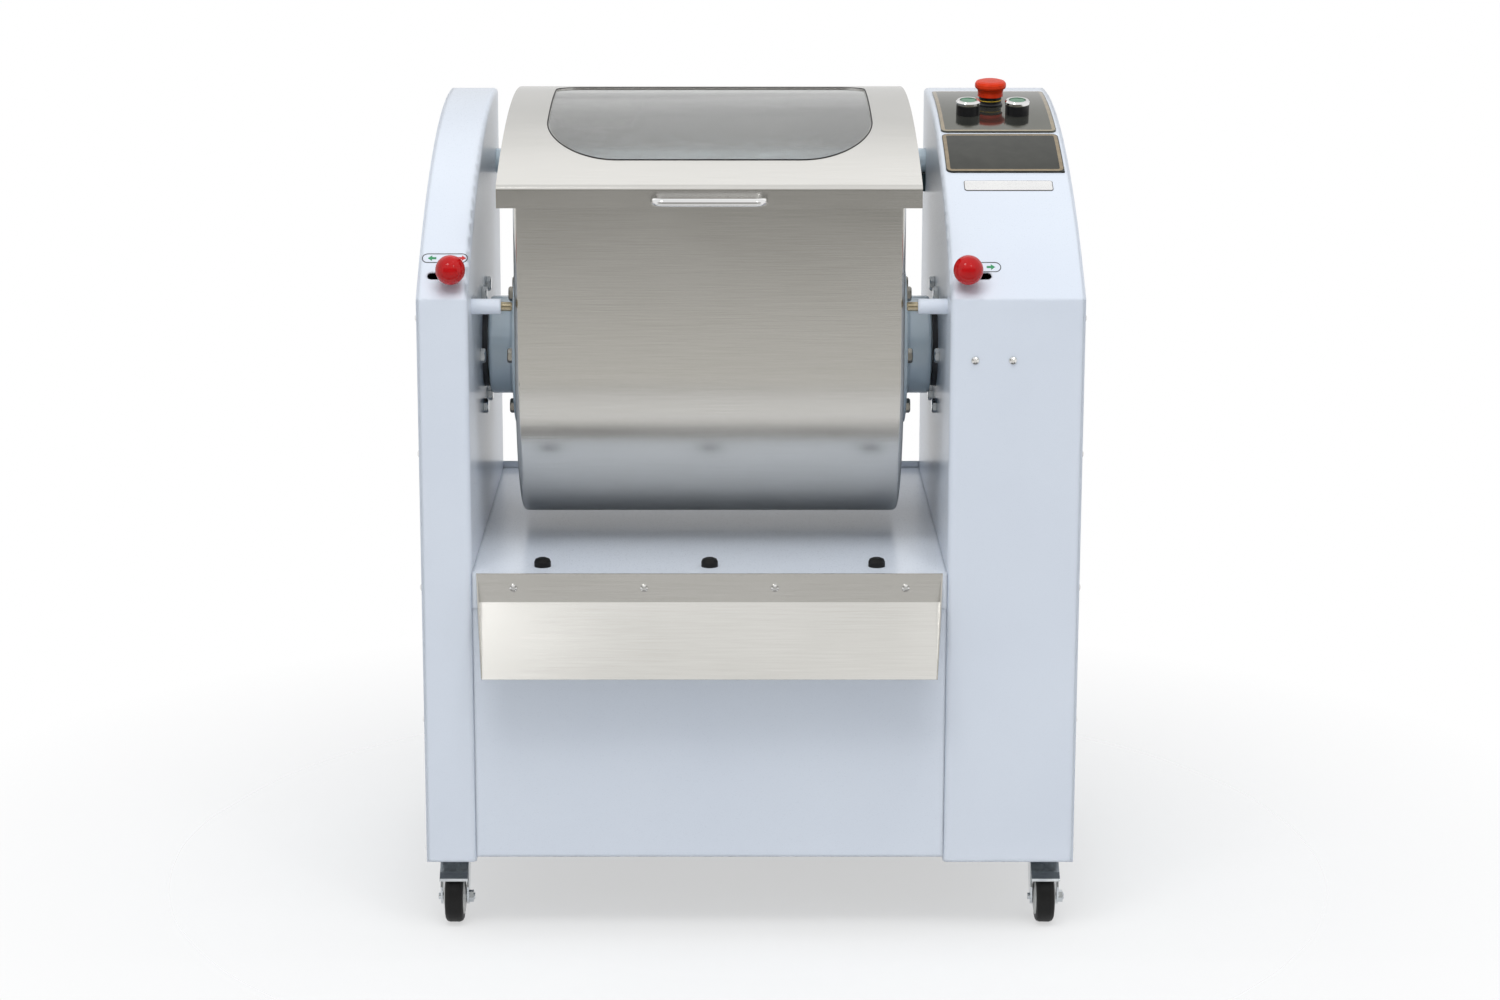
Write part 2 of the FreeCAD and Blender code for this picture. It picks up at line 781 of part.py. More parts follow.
def countershaft_pulley():
    pulley = grooved_pulley(counter_pulley_radius, counter_y, counter_z, counter_radius)
    middle = (counter_pulley_radius + counter_radius) / 2
    for angle in bolt_angles():
        hole = bar_x(counter_pulley_radius * 0.2, pulley_plane - 1, pulley_plane + pulley_width + 1,
                     counter_y + middle * math.cos(angle), counter_z + middle * math.sin(angle))
        pulley = pulley.cut(hole)
    return pulley


def motor_pulley():
    """Motor shaft with its pulley."""
    shaft = bar_x(motor_shaft, right_inner - motor_gap - 39, pulley_plane + pulley_width + 6, motor_y, motor_z)
    return shaft.fuse(grooved_pulley(motor_pulley_radius, motor_y, motor_z, motor_shaft - 1)).removeSplitter()


def motor():
    """Foot-mounted motor: finned body, end shields, terminal box and feet."""
    right = right_inner - motor_gap
    left = right - motor_length
    shield = 24.0
    outline = [(left, 0), (left, motor_radius - 14), (left + 8, motor_radius - 4), (left + shield, motor_radius),
               (right - shield, motor_radius), (right - 6, motor_radius - 8), (right, 34), (right, 0)]
    body = turned_x(outline, motor_y, motor_z)
    for i in range(5):
        x = left + shield + 16 + 32 * i
        body = body.fuse(bar_x(motor_radius + 6, x, x + 6, motor_y, motor_z))
    for x in motor_rail_xs():
        foot = box(x - 17, x + 17, motor_y - 62, motor_y + 62, rail_top, rail_top + 10)
        web = box(x - 5, x + 5, motor_y - 48, motor_y + 48, rail_top + 5, motor_z)
        body = body.fuse(foot).fuse(web)
    middle = (left + right) / 2
    terminal = box(middle - 42, middle + 42, motor_y - 38, motor_y + 38, motor_z, motor_z + motor_radius + 30)
    body = body.fuse(terminal)
    bore = bar_x(motor_shaft + running_fit, right - 40, right + 1, motor_y, motor_z)
    return body.cut(bore).removeSplitter()


def loop_prism(first, first_radius, second, second_radius, x0, x1):
    """The outline of a band stretched round two circles, filled and extruded from x0 to x1."""
    dy = second[0] - first[0]
    dz = second[1] - first[1]
    run = math.atan2(dz, dy)
    lean = math.acos((first_radius - second_radius) / math.hypot(dy, dz))

    def rim(centre, radius, angle):
        return vec(x0, centre[0] + radius * math.cos(angle), centre[1] + radius * math.sin(angle))

    a = rim(first, first_radius, run + lean)
    b = rim(second, second_radius, run + lean)
    c = rim(second, second_radius, run - lean)
    d = rim(first, first_radius, run - lean)
    edges = [line(a, b), arc(b, rim(second, second_radius, run), c), line(c, d),
             arc(d, rim(first, first_radius, run + math.pi), a)]
    return extruded(edges, vec(x1 - x0, 0, 0))


def drive_belt():
    low = (motor_y, motor_z)
    high = (counter_y, counter_z)
    x0 = pulley_plane + (pulley_width - belt_width) / 2
    x1 = x0 + belt_width
    low_radius = motor_pulley_radius + drive_clearance
    high_radius = counter_pulley_radius + drive_clearance
    belt = loop_prism(low, low_radius + belt_thickness, high, high_radius + belt_thickness, x0, x1)
    return belt.cut(loop_prism(low, low_radius, high, high_radius, x0 - 1, x1 + 1))


def drive_chain():
    """Two link-plate bands beside the teeth, tied by rollers along the free runs."""
    low = (counter_y, counter_z)
    high = (trunnion_y, trunnion_z)
    half = chain_link_height / 2
    inner = sprocket_width / 2 + drive_clearance
    chain = None
    for x0 in (chain_plane - inner - chain_plate, chain_plane + inner):
        x1 = x0 + chain_plate
        band = loop_prism(low, pinion_radius + half, high, sprocket_radius + half, x0, x1)
        band = band.cut(loop_prism(low, pinion_radius - half, high, sprocket_radius - half, x0 - 1, x1 + 1))
        chain = band if chain is None else chain.fuse(band)
    x0 = chain_plane - inner - chain_plate
    x1 = chain_plane + inner + chain_plate
    for y, z in chain_roller_places(low, high):
        chain = chain.fuse(bar_x(half * 0.7, x0, x1, y, z))
    return chain.removeSplitter()


def chain_roller_places(low, high):
    """Roller centres on both free runs, clear of the tooth tips."""
    dy = high[0] - low[0]
    dz = high[1] - low[1]
    distance = math.hypot(dy, dz)
    run = math.atan2(dz, dy)
    lean = math.acos((pinion_radius - sprocket_radius) / distance)
    length = math.sqrt(distance ** 2 - (sprocket_radius - pinion_radius) ** 2)
    count = int(length / chain_pitch)
    places = []
    for angle in (run + lean, run - lean):
        start = (low[0] + pinion_radius * math.cos(angle), low[1] + pinion_radius * math.sin(angle))
        end = (high[0] + sprocket_radius * math.cos(angle), high[1] + sprocket_radius * math.sin(angle))
        for i in range(1, count):
            share = i / count
            y = start[0] + (end[0] - start[0]) * share
            z = start[1] + (end[1] - start[1]) * share
            reach = tooth_height + chain_link_height
            clear_low = math.hypot(y - low[0], z - low[1]) > pinion_radius + reach
            clear_high = math.hypot(y - high[0], z - high[1]) > sprocket_radius + reach
            if clear_low and clear_high:
                places.append((y, z))
    return places


def countershaft_bearing():
    """Flanged bearing cartridge through the inner wall of the right column."""
    end = right_inner + column_sheet + 18
    face = right_inner + column_sheet
    bore = counter_radius + running_fit
    outline = [(end - cartridge_length, bore), (end - cartridge_length, cartridge_radius),
               (face, cartridge_radius), (face, cartridge_flange), (face + 8, cartridge_flange),
               (face + 8, cartridge_radius), (end, cartridge_radius - 4), (end, bore)]
    return turned_x(outline, counter_y, counter_z)


def contactor_box():
    """Switchgear box on the inner wall above the rail, with a stepped lid."""
    x0 = right_inner + column_sheet
    y0, rise = contactor_corner
    z0 = rail_top + rise
    width, depth, height = contactor_size
    body = box(x0, x0 + width - 12, y0, y0 + depth, z0, z0 + height)
    lid = box(x0 + width - 12, x0 + width, y0 + 3, y0 + depth - 3, z0 + 3, z0 + height - 3)
    return body.fuse(lid).removeSplitter()


def lid_switch():
    """Position switch on the right column wall, under the tie bar."""
    width, depth, height = switch_size
    top = tie_bar_z - tie_bar_radius - clearance
    y0 = tie_bar_y - depth / 2
    body = box(right_inner - width, right_inner, y0, y0 + depth, top - height, top)
    edges = [edge for edge in body.Edges if edge.BoundBox.XMax < right_inner - width + 0.01]
    body = body.makeFillet(3.0, edges)
    plunger = Part.makeCylinder(3.5, 9, vec(right_inner - width * 0.55, y0 + 1, top - height * 0.4), vec(0, -1, 0))
    return body.fuse(plunger)


def hood_solid(x0, x1, inset, bottom_drop):
    """The lid's side outline, drawn in by an inset; the bottom drop opens it downwards."""
    front = hood_lip_y + inset
    back = tie_bar_y + hood_tail - inset
    radius = hood_radius - inset
    centre_z = hood_top - hood_radius
    middle = (front + back) / 2

    def crown(y):
        return vec(x0, y, centre_z + math.sqrt(radius ** 2 - (hood_apex_y - y) ** 2))

    heel = tie_bar_z - hood_heel - bottom_drop
    lip = vec(x0, front, hood_lip_z - bottom_drop)
    tail = vec(x0, back, heel)
    knee = vec(x0, tie_bar_y - hood_heel, heel)
    edges = [line(lip, crown(front)), arc(crown(front), crown(middle), crown(back)), line(crown(back), tail),
             line(tail, knee), line(knee, lip)]
    return extruded(edges, vec(x1 - x0, 0, 0))


def lid_hood():
    """Rolled hood with a front lip, two cheeks that hang on the tie bar, and a window opening."""
    x0 = bay_middle - hood_width / 2
    x1 = bay_middle + hood_width / 2
    hood = hood_solid(x0, x1, 0, 0)
    lip_edges = [edge for edge in hood.Edges
                 if edge.BoundBox.XLength > hood_width - 1 and edge.BoundBox.YMax < hood_lip_y + 0.01
                 and edge.BoundBox.ZMin > hood_lip_z + 1]
    hood = hood.makeFillet(hood_edge_radius, lip_edges)
    inside = hood_solid(x0 + hood_sheet, x1 - hood_sheet, hood_sheet, 60)
    inner_edges = [edge for edge in inside.Edges
                   if edge.BoundBox.XLength > hood_width - 5 and edge.BoundBox.YMax < hood_lip_y + 5
                   and edge.BoundBox.ZMin > hood_lip_z + 1]
    hood = hood.cut(inside.makeFillet(hood_edge_radius - hood_sheet, inner_edges))
    hood = hood.cut(bar_x(tie_bar_radius + clearance, x0 - 1, x1 + 1, tie_bar_y, tie_bar_z))
    return hood.cut(window_prism(0))


def window_prism(lap):
    half = window_width / 2 + lap
    return rounded_plan(bay_middle - half, bay_middle + half, window_front - lap, window_back + lap,
                        (window_corner_across, window_corner_along), (window_rear_corner, window_rear_corner),
                        hood_top - 150, hood_top + 20)


def lid_window():
    """A bent clear sheet fixed under the window opening."""
    x0 = bay_middle - hood_width / 2 + 10
    x1 = bay_middle + hood_width / 2 - 10
    sheet = hood_solid(x0, x1, hood_sheet, 60).cut(hood_solid(x0 - 1, x1 + 1, hood_sheet + window_sheet, 80))
    return sheet.common(window_prism(window_lap))


def lid_handle():
    """A bent round rod standing off the lid's lip."""
    z = hood_lip_z + handle_rise
    half = handle_length / 2 - handle_rod
    foot_y = hood_lip_y
    front_y = hood_lip_y - handle_reach + handle_rod
    b = handle_bend
    slope = b * (1 - math.sqrt(0.5))
    x0 = bay_middle - half
    x1 = bay_middle + half
    path = Part.Wire([
        line(vec(x0, foot_y, z), vec(x0, front_y + b, z)),
        arc(vec(x0, front_y + b, z), vec(x0 + slope, front_y + slope, z), vec(x0 + b, front_y, z)),
        line(vec(x0 + b, front_y, z), vec(x1 - b, front_y, z)),
        arc(vec(x1 - b, front_y, z), vec(x1 - slope, front_y + slope, z), vec(x1, front_y + b, z)),
        line(vec(x1, front_y + b, z), vec(x1, foot_y, z)),
    ])
    ring = Part.Wire([Part.makeCircle(handle_rod, vec(x0, foot_y, z), vec(0, 1, 0))])
    return path.makePipeShell([ring], True, True)


def lid_hinge_sleeves():
    outer = tie_bar_radius + hinge_sleeve_wall
    bore = tie_bar_radius + sliding_fit
    start = bay_middle - hood_width / 2 + hood_sheet
    tube = bar_x(outer, start, start + hinge_sleeve_length, tie_bar_y, tie_bar_z)
    tube = tube.cut(bar_x(bore, start - 1, start + hinge_sleeve_length + 1, tie_bar_y, tie_bar_z))
    return Part.makeCompound([tube, mirrored_bay(tube)])


def left_lock_sleeve():
    start = left_inner - column_sheet
    end = left_inner + lock_sleeve_length
    tube = bar_x(lock_sleeve_radius, start, end, lock_y, lock_z)
    return tube.cut(bar_x(lock_pin_radius + sliding_fit, start - 1, end + 1, lock_y, lock_z))


def left_lock_pin():
    """Sliding bolt with an upright arm and the stud that carries the knob."""
    tip = drum_left - lock_tip_gap
    x = left_stud_x()
    pin = bar_x(lock_pin_radius, x - arm_thickness / 2, tip - 1.5, lock_y, lock_z)
    pin = pin.fuse(Part.makeCone(lock_pin_radius, lock_pin_radius - 1.5, 1.5, vec(tip - 1.5, lock_y, lock_z),
                                 vec(1, 0, 0)))
    mouth = stud_mouth() + vec(x, 0, 0)
    reach = (lock_y - mouth.y) / math.cos(math.radians(stud_slope))
    root = mouth - stud_direction() * reach
    arm = box(x - arm_thickness / 2, x + arm_thickness / 2, lock_y - arm_width / 2, lock_y + arm_width / 2,
              lock_z - arm_width / 2, root.z + arm_width / 2)
    stud = Part.makeCylinder(stud_radius, reach + stud_outside, root, stud_direction())
    return pin.fuse(arm).fuse(stud).removeSplitter()


def left_lock_knob():
    """Ball knob with a flat seat and a blind hole for the stud."""
    tip = stud_mouth() + vec(left_stud_x(), 0, 0) + stud_direction() * stud_outside
    ball = Part.makeSphere(knob_radius)
    seat = Part.makeBox(80, 80, 40, vec(-40, -40, -40 - knob_radius * 0.86))
    ball = ball.cut(seat)
    ball = ball.cut(Part.makeCylinder(stud_radius, knob_radius + 4, vec(0, 0, -knob_radius)))
    return placed(ball, tip - stud_direction() * 4, stud_direction())


def fascia(y0, y1):
    """A curved panel laid on the arched top of the right column."""
    x0 = right_inner + fascia_margin
    x1 = right_outer - fascia_margin
    middle = (y0 + y1) / 2

    def on_arch(y, rise):
        return vec(x0, y, arch_point(y, rise))

    edges = [arc(on_arch(y0, 0), on_arch(middle, 0), on_arch(y1, 0)), line(on_arch(y1, 0), on_arch(y1, fascia_sheet)),
             arc(on_arch(y1, fascia_sheet), on_arch(middle, fascia_sheet), on_arch(y0, fascia_sheet)),
             line(on_arch(y0, fascia_sheet), on_arch(y0, 0))]
    sheet = extruded(edges, vec(x1 - x0, 0, 0))
    corner = (fascia_corner, fascia_corner)
    plan = rounded_plan(x0, x1, y0, y1, corner, corner, bend_height - 50, column_top + 50)
    return sheet.common(plan)


def upper_control_panel():
    panel = fascia(upper_fascia_front, upper_fascia_back)
    for cutter in control_holes():
        panel = panel.cut(cutter)
    return panel


def control_places():
    return [(control_middle - button_pitch / 2, button_y), (control_middle + button_pitch / 2, button_y),
            (control_middle, stop_y)]


def control_holes():
    cutter = Part.makeCylinder(button_neck + hole_fit, 60, vec(0, 0, -40))
    return [on_fascia(cutter, x, y) for x, y in control_places()]


def button_housing():
    bore = button_face + clearance
    floor = button_body + button_bezel - button_face_depth - button_travel - 1
    outline = [(0, -button_neck_length), (button_neck, -button_neck_length), (button_neck, 0), (button_radius, 0),
               (button_radius, button_body), (bore, button_body), (bore, floor), (0, floor)]
    return turned_z(outline)


def button_bezel_ring():
    low = button_body
    high = button_body + button_bezel
    bore = button_face + clearance
    outline = [(bore, low), (button_radius, low), (button_radius + 0.6, low + 1), (button_radius + 0.6, high - 2),
               (button_radius - 1, high), (bore, high)]
    return turned_z(outline)


def button_plunger():
    top = button_body + button_bezel - 0.5
    low = top - button_face_depth
    outline = [(0, low), (button_face, low), (button_face, top - 1), (button_face - 1, top - 0.2), (0, top)]
    return turned_z(outline)


def emergency_stop_collar():
    """Fixed black collar with a narrow band groove round it."""
    high = stop_collar_height
    band = high * 0.42
    outline = [(0, -button_neck_length), (button_neck, -button_neck_length), (button_neck, 0),
               (stop_collar_radius + 1.5, 0), (stop_collar_radius + 1.5, 2), (stop_collar_radius, 3.5),
               (stop_collar_radius, band), (stop_collar_radius - 0.5, band + 0.5),
               (stop_collar_radius - 0.5, band + 1.5), (stop_collar_radius, band + 2),
               (stop_collar_radius, high - 1), (stop_collar_radius - 1, high), (0, high)]
    return turned_z(outline)


def emergency_stop_head():
    """Mushroom head whose skirt slides over the collar."""
    low = stop_collar_height - stop_skirt_lap
    roof = stop_collar_height + stop_travel + clearance
    bore = stop_collar_radius + clearance
    high = stop_head_height
    rim = stop_head_radius
    outline = [(bore, low), (stop_skirt_radius, low), (stop_skirt_radius - 0.4, high - 15),
               (stop_skirt_radius + 0.8, high - 11), (rim - 0.8, high - 9.5), (rim, high - 7.5),
               (rim - 0.3, high - 4), (rim - 2, high - 1.5), (rim - 6, high - 0.3), (0, high),
               (0, roof), (bore, roof)]
    return turned_z(outline)


def castor_places():
    xs = (left_outer + castor_inset_x, right_outer - castor_inset_x)
    ys = (castor_inset_y, column_depth - castor_inset_y)
    return {"front_left": (xs[0], ys[0]), "front_right": (xs[1], ys[0]),
            "rear_left": (xs[0], ys[1]), "rear_right": (xs[1], ys[1])}


def castor_plates():
    """Square top plates with a pressed bearing race below."""
    width, depth = castor_plate
    low = column_base - castor_plate_thickness
    plates = []
    for x, y in castor_places().values():
        plate = box(x - width / 2, x + width / 2, y - depth / 2, y + depth / 2, low, column_base)
        upright = [edge for edge in plate.Edges if edge.BoundBox.ZLength > 1]
        plate = plate.makeFillet(6.0, upright)
        race = turned_z([(0, low + 0.5), (20, low + 0.5), (18, low - 2.5), (0, low - 2.5)])
        race.translate(vec(x, y, 0))
        plates.append(plate.fuse(race).removeSplitter())
    return Part.makeCompound(plates)


def castor_fork(x, y):
    """Pressed fork with two tapering legs, a folded shroud and the axle bolt."""
    top = column_base - castor_plate_thickness - 2.5 - clearance
    axle_y = y - castor_trail
    half = core_width / 2 + fork_gap
    crown = turned_z([(0, top), (22, top), (22, top - 5), (19, top - 8), (0, top - 8)])
    crown.translate(vec(x, y, 0))
    leg_line = [(y + 19, top - 5), (y - 19, top - 5), (axle_y - 9, wheel_radius + 14),
                (axle_y - 8, wheel_radius - 5), (axle_y, wheel_radius - 10), (axle_y + 8, wheel_radius - 5),
                (y + 10, top - 22)]
    fork = crown
    for x0 in (x - half - fork_sheet, x + half):
        fork = fork.fuse(prism_x(leg_line, x0, x0 + fork_sheet))
    web_low = 2 * wheel_radius + 3
    fork = fork.fuse(box(x - half - fork_sheet, x + half + fork_sheet, y - 17, y + 17, top - 8, top - 5))
    shroud = [(y - 15, top - 6), (y - 19, top - 6), (axle_y - 22, web_low - 5), (axle_y - 24, web_low - 8),
              (axle_y - 20, web_low - 8), (axle_y - 17, web_low - 4)]
    fork = fork.fuse(prism_x(shroud, x - half - fork_sheet, x + half + fork_sheet))
    fork = fork.fuse(bar_x(axle_radius, x - half - fork_sheet - 3, x + half + fork_sheet + 7, axle_y, wheel_radius))
    corner = 7.5
    nut = [(axle_y + corner * math.cos(math.radians(60 * i)), wheel_radius + corner * math.sin(math.radians(60 * i)))
           for i in range(6)]
    fork = fork.fuse(prism_x(nut, x + half + fork_sheet, x + half + fork_sheet + 5.5))
    return fork.removeSplitter()


def castor_wheel(x, y):
    """Tyre on a bulged core that turns on the axle bolt."""
    axle_y = y - castor_trail
    tyre_half = tyre_width / 2
    core_half = core_width / 2
    seat = wheel_radius - tyre_depth
    bore = axle_radius + sliding_fit
    tyre = turned_x([(x - tyre_half, seat), (x - tyre_half, wheel_radius - 4), (x - tyre_half + 1.5, wheel_radius - 1.5),
                     (x - tyre_half + 5, wheel_radius), (x + tyre_half - 5, wheel_radius),
                     (x + tyre_half - 1.5, wheel_radius - 1.5), (x + tyre_half, wheel_radius - 4),
                     (x + tyre_half, seat)], axle_y, wheel_radius)
    core = turned_x([(x - core_half, bore), (x - core_half, 10), (x - tyre_half - 1, seat - 2), (x - tyre_half, seat),
                     (x + tyre_half, seat), (x + tyre_half + 1, seat - 2), (x + core_half, 10),
                     (x + core_half, bore)], axle_y, wheel_radius)
    return Part.makeCompound([tyre, core])


os.makedirs("parts", exist_ok=True)

save("base_frame", base_frame())
save("left_column", left_column())
save("right_column", right_column())
save("left_side_cover", side_cover(left_outer, left_outer + cover_sheet))
save("right_side_cover", side_cover(right_outer - cover_sheet, right_outer))
save("front_panel", front_panel())
save("rear_panel", rear_panel())
save("deck", deck())
save("discharge_chute", discharge_chute())
save("deck_bumpers", deck_bumpers())
save("rear_tie_bar", rear_tie_bar())
save("casing_screws", casing_screws())
save("lock_sleeves", Part.makeCompound([left_lock_sleeve(), mirrored_bay(left_lock_sleeve())]))
save("left_bearing_housing", left_bearing_housing())
save("right_bearing_housing", mirrored_bay(left_bearing_housing()))
save("housing_bolts", housing_bolts())
save("upper_control_panel", upper_control_panel())
save("lower_control_panel", fascia(lower_fascia_front, lower_fascia_back))
buttons = control_places()[:2]
save("button_housings", Part.makeCompound([on_fascia(button_housing(), x, y) for x, y in buttons]))
save("button_bezels", Part.makeCompound([on_fascia(button_bezel_ring(), x, y) for x, y in buttons]))
save("start_button", on_fascia(button_plunger(), *buttons[0]))
save("stop_button", on_fascia(button_plunger(), *buttons[1]))
save("emergency_stop_collar", on_fascia(emergency_stop_collar(), control_middle, stop_y))
save("emergency_stop_head", on_fascia(emergency_stop_head(), control_middle, stop_y))
save("motor", motor())
save("drive_belt", drive_belt())
save("drive_chain", drive_chain())
save("countershaft_bearing", countershaft_bearing())
save("lid_switch", lid_switch())
save("contactor_box", contactor_box())
save("castor_plates", castor_plates())
save("drum_trough", drum_trough())
save("left_drum_end", left_drum_end())
save("right_drum_end", mirrored_bay(left_drum_end()))
save("left_trunnion", left_trunnion())
save("right_trunnion", mirrored_bay(left_trunnion()))
save("trunnion_bolts", trunnion_bolts())
save("lid_hood", lid_hood())
save("lid_window", lid_window())
save("lid_handle", lid_handle())
save("lid_hinge_sleeves", lid_hinge_sleeves())
save("agitator_shaft", agitator_shaft())
save("agitator_frame", agitator_frame())
save("agitator_sprocket", agitator_sprocket())
save("countershaft", countershaft())
save("countershaft_pulley", countershaft_pulley())
save("motor_pulley", motor_pulley())
save("left_lock_pin", left_lock_pin())
save("left_lock_knob", left_lock_knob())
save("right_lock_pin", mirrored_bay(left_lock_pin()))
save("right_lock_knob", mirrored_bay(left_lock_knob()))
for corner, (castor_x, castor_y) in castor_places().items():
    save(corner + "_castor_fork", castor_fork(castor_x, castor_y))
    save(corner + "_castor_wheel", castor_wheel(castor_x, castor_y))
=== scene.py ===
import json
import math

import bmesh
import bpy
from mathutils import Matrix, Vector


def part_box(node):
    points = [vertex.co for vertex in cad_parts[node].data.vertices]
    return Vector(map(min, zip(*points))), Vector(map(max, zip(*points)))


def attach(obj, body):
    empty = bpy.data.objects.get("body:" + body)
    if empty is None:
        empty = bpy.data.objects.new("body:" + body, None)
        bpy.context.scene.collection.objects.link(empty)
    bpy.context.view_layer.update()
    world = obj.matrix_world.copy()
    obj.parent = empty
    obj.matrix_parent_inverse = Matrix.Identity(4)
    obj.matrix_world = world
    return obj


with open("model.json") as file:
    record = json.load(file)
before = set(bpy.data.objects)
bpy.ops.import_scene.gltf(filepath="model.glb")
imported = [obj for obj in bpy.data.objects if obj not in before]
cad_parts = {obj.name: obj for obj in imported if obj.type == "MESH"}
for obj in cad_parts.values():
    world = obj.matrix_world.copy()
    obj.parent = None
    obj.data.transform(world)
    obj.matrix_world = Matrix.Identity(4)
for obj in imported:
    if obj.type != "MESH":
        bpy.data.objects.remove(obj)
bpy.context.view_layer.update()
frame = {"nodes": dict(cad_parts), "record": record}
nodes = frame["nodes"]

# Arched column tops: the arc's centre and radius, in metres like every length here
ARCH_Y = 0.290
ARCH_Z = 0.02193
ARCH_RADIUS = 0.94007

# Thin pieces on the arch: how far they sink into it, and how far they stand up from it
SINK = 0.0002
PLATE_LIFT = 0.0006
PLATE_EDGE_LIFT = 0.0004
INK_LIFT = 0.00015

# Range that most of a noise texture's values lie in
NOISE_LOW = 0.3
NOISE_HIGH = 0.7

# Colour sockets of Blender's Mix node, which share their names with other sockets
MIX_A = 6
MIX_B = 7
MIX_RESULT = 2


class Tree:
    """A node tree, with short calls for the nodes that materials and the world share."""

    def __init__(self, tree):
        self.tree = tree

    def add(self, kind):
        return self.tree.nodes.new(kind)

    def feed(self, socket, value):
        """Set a socket, or link it where the value is another node's output."""
        if isinstance(value, bpy.types.NodeSocket):
            self.tree.links.new(value, socket)
        else:
            socket.default_value = value

    def calc(self, operation, a, b=0.0):
        node = self.add("ShaderNodeMath")
        node.operation = operation
        self.feed(node.inputs[0], a)
        self.feed(node.inputs[1], b)
        return node.outputs[0]

    def mix(self, factor, a, b):
        node = self.add("ShaderNodeMix")
        node.data_type = "RGBA"
        self.feed(node.inputs["Factor"], factor)
        self.feed(node.inputs[MIX_A], a)
        self.feed(node.inputs[MIX_B], b)
        return node.outputs[MIX_RESULT]

    def seen(self):
        """One for what the eye, metal and glass see, and zero for all other light."""
        path = self.add("ShaderNodeLightPath")
        eye = self.calc("MAXIMUM", path.outputs["Is Camera Ray"], path.outputs["Is Glossy Ray"])
        return self.calc("MAXIMUM", eye, path.outputs["Is Transmission Ray"])


class Look(Tree):
    """A node material whose textures are measured in metres on the object."""

    def __init__(self, name):
        self.material = bpy.data.materials.new(name)
        self.material.use_nodes = True
        super().__init__(self.material.node_tree)
        self.shader = self.tree.nodes["Principled BSDF"]
        self.surface = self.tree.nodes["Material Output"].inputs["Surface"]
        self.place = self.add("ShaderNodeTexCoord").outputs["Object"]

    def set(self, **sockets):
        """Set or link the shader's sockets, which are named here with _ for a space."""
        for name, value in sockets.items():
            self.feed(self.shader.inputs[name.replace("_", " ")], value)
        return self.material

    def axes(self):
        node = self.add("ShaderNodeSeparateXYZ")
        self.feed(node.inputs[0], self.place)
        return node.outputs

    def noise(self, scale, detail=2.0, stretch=(1, 1, 1)):
        mapping = self.add("ShaderNodeMapping")
        mapping.inputs["Scale"].default_value = stretch
        self.feed(mapping.inputs["Vector"], self.place)
        node = self.add("ShaderNodeTexNoise")
        self.feed(node.inputs["Vector"], mapping.outputs[0])
        node.inputs["Scale"].default_value = scale
        node.inputs["Detail"].default_value = detail
        return node.outputs["Fac"]

    def ramp(self, noise, low, high):
        """A colour between two, by a noise."""
        node = self.add("ShaderNodeValToRGB")
        self.feed(node.inputs[0], noise)
        ends = zip(node.color_ramp.elements, (NOISE_LOW, NOISE_HIGH), (low, high))
        for end, place, colour in ends:
            end.position = place
            end.color = (*colour, 1)
        return node.outputs[0]

    def spread(self, factor, low, high, start=NOISE_LOW, end=NOISE_HIGH):
        """A number from low to high, as the factor goes from start to end."""
        node = self.add("ShaderNodeMapRange")
        for socket, value in zip(node.inputs, (factor, start, end, low, high)):
            self.feed(socket, value)
        return node.outputs[0]

    def bump(self, height, depth, strength=1.0, edge=0.0):
        """Fine relief, on edges that are rounded to a small radius where one is given."""
        node = self.add("ShaderNodeBump")
        if edge:
            round_edge = self.add("ShaderNodeBevel")
            round_edge.samples = 6
            round_edge.inputs["Radius"].default_value = edge
            self.feed(node.inputs["Normal"], round_edge.outputs[0])
        node.inputs["Strength"].default_value = strength
        node.inputs["Distance"].default_value = depth
        self.feed(node.inputs["Height"], height)
        self.feed(self.shader.inputs["Normal"], node.outputs[0])


def finish_of(name, low, high, rough, grain, depth, patch=9.0, edge=0.0, **sockets):
    """Colour in soft patches, with roughness and bump from one finer grain."""
    look = Look(name)
    fine = look.noise(grain)
    look.bump(fine, depth, edge=edge)
    colour = look.ramp(look.noise(patch, detail=3.0), low, high)
    return look.set(Base_Color=colour, Roughness=look.spread(fine, *rough), **sockets)


def brushed(name, low, high, rough):
    """Rolled sheet with its grain along X, and faint wiping marks."""
    look = Look(name)
    grain_share = 0.45
    wiped_share = 0.55
    grain = look.noise(1.0, detail=3.0, stretch=(14, 1100, 1100))
    wiped = look.noise(7.0, detail=4.0, stretch=(0.5, 1, 1))
    look.bump(grain, depth=0.00004)
    streaks = look.calc("MULTIPLY", grain, grain_share)
    marks = look.calc("MULTIPLY", wiped, wiped_share)
    colour = look.ramp(look.calc("ADD", streaks, marks), low, high)
    return look.set(Base_Color=colour, Roughness=look.spread(wiped, *rough), Metallic=1.0)


